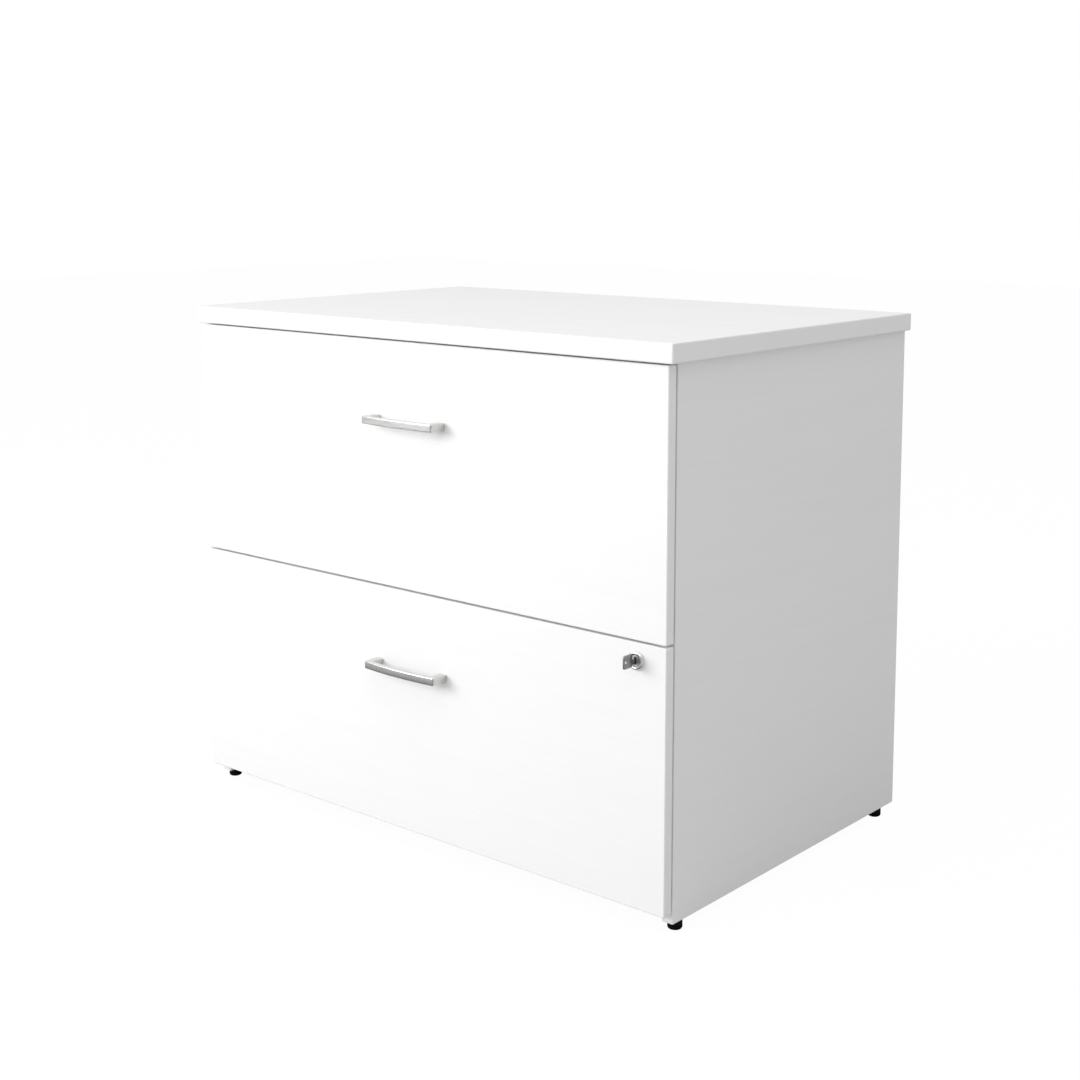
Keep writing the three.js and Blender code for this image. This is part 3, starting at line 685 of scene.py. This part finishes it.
def bow_handle(node, wall):
    """The bow's plan drawn as a flat face, given its height, and rounded along every arris."""
    low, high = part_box(node)
    reach = wall - low.y
    bm = bmesh.new()

    def arc(crown, end, half, steps):
        rise = crown - end
        radius = (half * half + rise * rise) / (2 * rise)
        first = bm.verts.new((-half, wall - end, low.z))
        turn = 2 * math.asin(half / radius)
        centre = (0, wall - crown + radius, low.z)
        spun = bmesh.ops.spin(bm, geom=[first], cent=centre, axis=(0, 0, 1), angle=turn, steps=steps)
        return first, spun["geom_last"][0]

    outer = arc(reach, HANDLE_END_REACH, HANDLE_SHOULDER, OUTER_STEPS)
    inner = arc(reach - HANDLE_BAR, HANDLE_ARMPIT_REACH, HANDLE_ARMPIT, INNER_STEPS)
    for side, shoulder, armpit in zip((-1, 1), outer, inner):
        heel = bm.verts.new((side * HANDLE_HEEL, wall - HANDLE_SEAT, low.z))
        toe = bm.verts.new((side * (HANDLE_HEEL - HANDLE_LEG), wall - HANDLE_SEAT, low.z))
        for pair in ((shoulder, heel), (heel, toe), (toe, armpit)):
            bm.edges.new(pair)
    bmesh.ops.contextual_create(bm, geom=bm.edges[:])
    for corners, ease, steps in ((outer, SHOULDER_ROUND, 6), (inner, ARMPIT_ROUND, 8)):
        bmesh.ops.bevel(
            bm, geom=list(corners), offset=ease, affect="VERTICES", segments=steps, profile=0.5,
            material=-1,
        )
    raised = bmesh.ops.extrude_face_region(bm, geom=bm.faces[:])["geom"]
    lifted = parts_of(raised, bmesh.types.BMVert)
    bmesh.ops.translate(bm, verts=lifted, vec=(0, 0, high.z - low.z))
    bmesh.ops.recalc_face_normals(bm, faces=bm.faces)
    for height, ease in ((high.z, HANDLE_TOP_ARRIS), (low.z, HANDLE_LOW_ARRIS)):
        rim = [edge for edge in bm.edges if all(abs(vert.co.z - height) < 1e-6 for vert in edge.verts)]
        bmesh.ops.bevel(
            bm, geom=rim, offset=ease, affect="EDGES", segments=5, profile=0.5, material=-1,
            clamp_overlap=True,
        )
    return bm


for level in ("upper", "lower"):
    node = level + "_handle"
    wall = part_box(level + "_drawer_front")[0].y
    bm = bow_handle(node, wall)
    made_piece(level + "_bow_handle", bm, handle_finish, level + "_drawer", [node])


# Handle screws: pan-head machine screws put in from inside the drawer box, one into each leg, of the
# same pattern as those that hold the fronts.

HANDLE_SCREW_HEAD = 0.0026
HANDLE_SCREW_RADIUS = 0.0040
HANDLE_SCREW_SHANK = 0.0020
for level in ("upper", "lower"):
    for side in ("left", "right"):
        node = f"{level}_handle_{side}_screw"
        low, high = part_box(node)
        under_head = high.y - HANDLE_SCREW_HEAD
        seat = Vector(((low.x + high.x) / 2, under_head, (low.z + high.z) / 2))
        sizes = (HANDLE_SCREW_RADIUS, HANDLE_SCREW_HEAD, HANDLE_SCREW_SHANK, under_head - low.y)
        bm = bmesh.new()
        pan_screw(bm, seat, (0, 1, 0), *sizes)
        name = f"{level}_handle_{side}_machine_screw"
        made_piece(name, bm, screw_finish, level + "_drawer", [node])


# Lock: a chromed housing with a rounded rim, clamped by its nut behind the drawer front. A steel plug
# with the keyway turns in it, and the cam is screwed to the plug's square tail.

def bright_chrome(name, colour, base_roughness):
    finish, shader, start = new_finish(name, Metallic=1.0)
    place = object_place(start)
    haze = noise(start, place, (300, 300, 300), 4)
    feed(
        shader,
        Base_Color=blend(start, haze, colour, tuple(0.9 * c for c in colour[:3]) + (1,)),
        Roughness=base_roughness + haze * 0.06,
        Normal=bumped(start, haze, 0.00003, 0.2),
    )
    return finish


CHROME = (0.82, 0.825, 0.83, 1)
PLUG_STEEL = (0.62, 0.625, 0.63, 1)
chrome_finish = bright_chrome("bright_chrome", CHROME, 0.06)
plug_finish = bright_chrome("plug_steel", PLUG_STEEL, 0.36)
for node in ("lock_nut", "lock_cam", "lock_cam_screw"):
    dress(node, screw_finish)

BEZEL = 0.0120
BEZEL_SEAT = 0.0003
BEZEL_ROUND = 0.0022
BEZEL_RISE = 0.0026
BARREL = 0.0095
CORE_BORE = 0.0063
PLUG_BORE = 0.0083
BORE_DEPTH = 0.0030
LIP_INSET = 0.0011
LIP_RISE = 0.0040
LIP_ROUND = 0.0008
LIP_FOOT = 0.0030
front_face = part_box("lower_drawer_front")[0].y
low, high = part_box("lock_housing")
lock_axis = Vector(((low.x + high.x) / 2, front_face, (low.z + high.z) / 2))
barrel_end = front_face - high.y
profile = [
    (PLUG_BORE, -BORE_DEPTH),
    (CORE_BORE, -BORE_DEPTH),
    (CORE_BORE, barrel_end),
    (BARREL, barrel_end),
    (BARREL, BEZEL_SEAT),
    (BEZEL - BEZEL_SEAT, BEZEL_SEAT),
    (BEZEL, 2 * BEZEL_SEAT),
    *quarter((BEZEL - BEZEL_ROUND, BEZEL_RISE), BEZEL_ROUND, 0, 90, 8),
    *quarter((PLUG_BORE + LIP_INSET, LIP_RISE), LIP_ROUND, 90, 70, 4),
    (PLUG_BORE, LIP_FOOT),
    (PLUG_BORE, -BORE_DEPTH),
]
bm = turned(profile, lock_axis, (0, -1, 0), 96)
made_piece("lock_chromed_housing", bm, chrome_finish, "lower_drawer", ["lock_housing"])

PLUG = 0.0080
PLUG_SHOULDER = 0.0027
PLUG_EASE = 0.0005
CORE = 0.0060
TAIL = 0.0030
CAM_LAP = 0.0002
KEYWAY_WIDTH = 0.0038
KEYWAY_HEIGHT = 0.0088
KEYWAY_DEPTH = 0.0270
low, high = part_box("lock_plug")
core_end = front_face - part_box("lock_cam")[0].y + CAM_LAP
plug_face = front_face - low.y
profile = [
    (CORE, core_end),
    (CORE, -PLUG_SHOULDER),
    (PLUG, -PLUG_SHOULDER),
    (PLUG, plug_face - PLUG_EASE),
    (PLUG - PLUG_EASE, plug_face),
]
bm = turned(profile, lock_axis, (0, -1, 0), 64)


def squared_end(bm, rim, width, height, move):
    """Closes a round rim in to an upright rectangle, which is then drawn along the lock's axis."""
    across, out, up = lock_axis.x, rim[0].verts[0].co.y, lock_axis.z
    signs = ((-0.5, -0.5), (0.5, -0.5), (0.5, 0.5), (-0.5, 0.5))
    corners = [bm.verts.new((across + x * width, out, up + z * height)) for x, z in signs]
    loop = [bm.edges.new(pair) for pair in zip(corners, corners[1:] + corners[:1])]
    bmesh.ops.bridge_loops(bm, edges=rim + loop)
    bmesh.ops.edgeloop_fill(bm, edges=drawn_on(bm, loop, (0, move, 0)))


rims = [edge for edge in bm.edges if edge.is_boundary]
front_rim = [edge for edge in rims if edge.verts[0].co.y < front_face]
back_rim = [edge for edge in rims if edge.verts[0].co.y > front_face]
squared_end(bm, front_rim, KEYWAY_WIDTH, KEYWAY_HEIGHT, KEYWAY_DEPTH)
squared_end(bm, back_rim, 2 * TAIL, 2 * TAIL, high.y - front_face + core_end)
bmesh.ops.recalc_face_normals(bm, faces=bm.faces)
made_piece("lock_keyed_plug", bm, plug_finish, "lock_plug", ["lock_plug"])


# Key: stamped from 2 mm steel, its bow a rounded square with a hole for a ring near the outer edge,
# its blade notched for the wafers. It stands upright in the plug.

KEY_STEEL = (0.30, 0.30, 0.29, 1)
KEY_TIP = 0.0200
KEY_TIP_EASE = 0.0015
KEY_TIP_HALF = 0.0010
KEY_BLADE = 0.0034
KEY_NOTCHES = 4
KEY_FIRST_NOTCH = 0.0018
KEY_NOTCH_STEP = 0.0050
KEY_NOTCH_HALF = 0.0012
KEY_CUTS = (0.0018, 0.0022)
KEY_HOLE = 0.0021
KEY_HOLE_INSET = 0.0046
KEY_BOW_ROUND = 0.0026
KEY_NECK_ROUND = 0.0006
KEY_ARRIS = 0.0003
key_finish = bright_chrome("key_steel", KEY_STEEL, 0.28)
low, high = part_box("lock_key")
key_reach = front_face - low.y
bow_top = high.z - lock_axis.z
bow_bottom = low.z - lock_axis.z
bow_start = key_reach - (bow_top - bow_bottom)
key = bmesh.new()


def key_point(out, up):
    return key.verts.new((low.x, front_face - out, lock_axis.z + up))


neck = [key_point(bow_start, KEY_BLADE), key_point(bow_start, -KEY_BLADE)]
bow = [key_point(out, up) for up in (bow_top, bow_bottom) for out in (bow_start, key_reach)]
tip = [
    key_point(-KEY_TIP, -KEY_TIP_HALF),
    key_point(-KEY_TIP, KEY_TIP_HALF),
    key_point(-KEY_TIP + KEY_TIP_EASE, KEY_BLADE),
]
notches = []
for i in range(KEY_NOTCHES):
    out = -KEY_FIRST_NOTCH - i * KEY_NOTCH_STEP
    notches.append(key_point(out, -KEY_BLADE))
    notches.append(key_point(out - KEY_NOTCH_HALF, -KEY_CUTS[i % 2]))
    if i < KEY_NOTCHES - 1:
        notches.append(key_point(out - 2 * KEY_NOTCH_HALF, -KEY_BLADE))
outline = [neck[1], *notches, *tip, neck[0], bow[0], bow[1], bow[3], bow[2]]
for pair in zip(outline, outline[1:] + outline[:1]):
    key.edges.new(pair)
bmesh.ops.contextual_create(key, geom=key.edges[:])
for corners, ease, steps in ((bow, KEY_BOW_ROUND, 6), (neck, KEY_NECK_ROUND, 3)):
    bmesh.ops.bevel(
        key, geom=corners, offset=ease, affect="VERTICES", segments=steps, profile=0.5, material=-1
    )
bmesh.ops.delete(key, geom=key.faces[:], context="FACES_ONLY")
ring_hole = (low.x, front_face - key_reach + KEY_HOLE_INSET, (low.z + high.z) / 2)
upright = Matrix.Translation(ring_hole) @ Matrix.Rotation(math.pi / 2, 4, "Y")
bmesh.ops.create_circle(key, segments=28, radius=KEY_HOLE, matrix=upright)
bmesh.ops.triangle_fill(key, use_beauty=True, edges=key.edges[:])
bmesh.ops.recalc_face_normals(key, faces=key.faces)
stamped = bmesh.ops.extrude_face_region(key, geom=key.faces[:])["geom"]
bmesh.ops.translate(key, verts=parts_of(stamped, bmesh.types.BMVert), vec=(high.x - low.x, 0, 0))
bmesh.ops.recalc_face_normals(key, faces=key.faces)
flat = [
    edge for edge in key.edges
    if abs(edge.verts[0].co.x - edge.verts[1].co.x) < 1e-6 and edge.calc_face_angle(0) > 1
]
bmesh.ops.bevel(
    key, geom=flat, offset=KEY_ARRIS, affect="EDGES", segments=2, profile=0.5, material=-1
)
made_piece("stamped_key", key, key_finish, "key", ["lock_key"])


# Top panel: 25 mm board laid over the case and screwed down through the rails, its edges closed with
# thick banding whose arrises are rounded.

dress("top_panel", melamine("top_panel", "x"))


# Floor: a plain pale sheet on which the cabinet stands. It looks white to the camera. In the reflections of
# bright metal it shows painted shade: a painted contact shadow close round the cabinet, lighter further off.

WHITE = (1, 1, 1, 1)
FLOOR_HALF = 12
FLOOR_SHADE = (0.60, 0.60, 0.60, 1)
# Painted shade for reflected rays only: darkest close round the cabinet as a painted contact shadow, lighter
# with distance.
FLOOR_PAINTED_CONTACT_SHADOW = (0.06, 0.06, 0.06, 1)
FLOOR_PAINTED_SHADE_NEAR = (0.47, 0.47, 0.47, 1)
FLOOR_PAINTED_SHADE_FAR = (0.74, 0.74, 0.74, 1)
CLOSE_TO_NEAR = (0.55, 1.15)
NEAR_TO_FAR = (1.4, 3.2)
FLOOR_GLOW = 1.03
FLOOR_GLOW_SHARE = 0.94
floor_mesh = bpy.data.meshes.new("floor")
bm = bmesh.new()
bmesh.ops.create_grid(bm, x_segments=1, y_segments=1, size=FLOOR_HALF)
bm.to_mesh(floor_mesh)
bm.free()
floor = bpy.data.objects.new("floor", floor_mesh)
bpy.context.scene.collection.objects.link(floor)
floor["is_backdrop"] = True
sheet = bpy.data.materials.new("pale_sheet")
sheet.use_nodes = True
start = Wire(sheet.node_tree)
sheet.node_tree.nodes.clear()
mirrored = start.add("ShaderNodeLightPath", output="Is Glossy Ray")
away = start.add("ShaderNodeVectorMath", {"operation": "LENGTH"}, {0: object_place(start)}, "Value")
# Painted shade seen only in reflections: a painted contact shadow close to the cabinet, lightening with
# distance.
near = blend(start, smooth_step(start, away, *CLOSE_TO_NEAR), FLOOR_PAINTED_CONTACT_SHADOW, FLOOR_PAINTED_SHADE_NEAR)
far = blend(start, smooth_step(start, away, *NEAR_TO_FAR), near, FLOOR_PAINTED_SHADE_FAR)
shade = blend(start, mirrored, FLOOR_SHADE, far)
matt = start.add("ShaderNodeBsdfDiffuse", {}, {"Color": shade})
glow = start.add("ShaderNodeEmission", {}, {"Color": WHITE, "Strength": FLOOR_GLOW})
seen = start.add("ShaderNodeLightPath", output="Is Camera Ray")
mixed = start.add("ShaderNodeMixShader", {}, {0: seen * FLOOR_GLOW_SHARE, 1: matt, 2: glow})
start.add("ShaderNodeOutputMaterial", {}, {"Surface": mixed})
floor_mesh.materials.append(sheet)


# Light: an even white room, and a soft panel at the front left that brightens the fronts and throws the
# faint shadows of the handles and the lock. Weak panels overhead and at the right even the other sides.

ROOM = 0.672
CEILING_DIM = 0.10
MIRROR_LIFT = 0.20
MIRROR_RIGHT_DIM = 0.62
MIRROR_CEILING_LIFT = 0.75
RIGHT_WALL = (-0.3, 0.9)
CEILING = (0.45, 0.85)
world = bpy.data.worlds.new("white_room")
bpy.context.scene.world = world
world.use_nodes = True
start = Wire(world.node_tree)
world.node_tree.nodes.clear()
heading = start.add("ShaderNodeSeparateXYZ", {}, {"Vector": start.add("ShaderNodeTexCoord")})
rightward = smooth_step(start, heading, *RIGHT_WALL)
overhead = smooth_step(start, Wire(start.tree, heading.socket.node.outputs["Z"]), *CEILING)
mirrored = start.add("ShaderNodeLightPath", output="Is Glossy Ray")
reflected = MIRROR_LIFT - rightward * MIRROR_RIGHT_DIM + overhead * MIRROR_CEILING_LIFT
strength = ROOM - overhead * CEILING_DIM + mirrored * reflected
room = start.add("ShaderNodeBackground", {}, {"Color": WHITE, "Strength": strength})
backdrop = start.add("ShaderNodeBackground", {}, {"Color": WHITE, "Strength": 1.0})
seen = start.add("ShaderNodeLightPath", output="Is Camera Ray")
mixed = start.add("ShaderNodeMixShader", {}, {0: seen, 1: room, 2: backdrop})
start.add("ShaderNodeOutputWorld", {}, {"Surface": mixed})


def soft_panel(name, place, target, width, height, power):
    panel = bpy.data.lights.new(name, "AREA")
    panel.shape = "RECTANGLE"
    panel.size = width
    panel.size_y = height
    panel.energy = power
    lamp = bpy.data.objects.new(name, panel)
    bpy.context.scene.collection.objects.link(lamp)
    lamp.location = place
    lamp.rotation_euler = (Vector(target) - Vector(place)).to_track_quat("-Z", "Y").to_euler()


soft_panel("front_panel", (-2.7, -4.2, 2.1), (0.1, -0.2, 1.1), width=3.0, height=2.2, power=161)
soft_panel("overhead_panel", (0.9, -1.4, 3.5), (0, 0, 0.6), width=3.0, height=2.4, power=29)
soft_panel("right_panel", (4.6, 0.4, 1.0), (0.4, 0.1, 0.4), width=3.0, height=2.0, power=4)


# Camera: at the height of the photograph's, a little above the top panel, with part of the frame's
# drop taken by shift so that upright edges stay close to parallel.

CAMERA_PLACE = (1.6645, -1.9519, 0.9639)
CAMERA_TILT = 7.228
CAMERA_TURN = 40.436
camera = bpy.data.cameras.new("camera")
camera.lens = 57.14
camera.sensor_width = 36
camera.shift_y = -0.14
camera_object = bpy.data.objects.new("camera", camera)
bpy.context.scene.collection.objects.link(camera_object)
camera_object.location = CAMERA_PLACE
camera_object.rotation_euler = (math.radians(90 - CAMERA_TILT), 0, math.radians(CAMERA_TURN))
bpy.context.scene.camera = camera_object
bpy.context.scene.view_settings.view_transform = "Standard"

low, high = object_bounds()
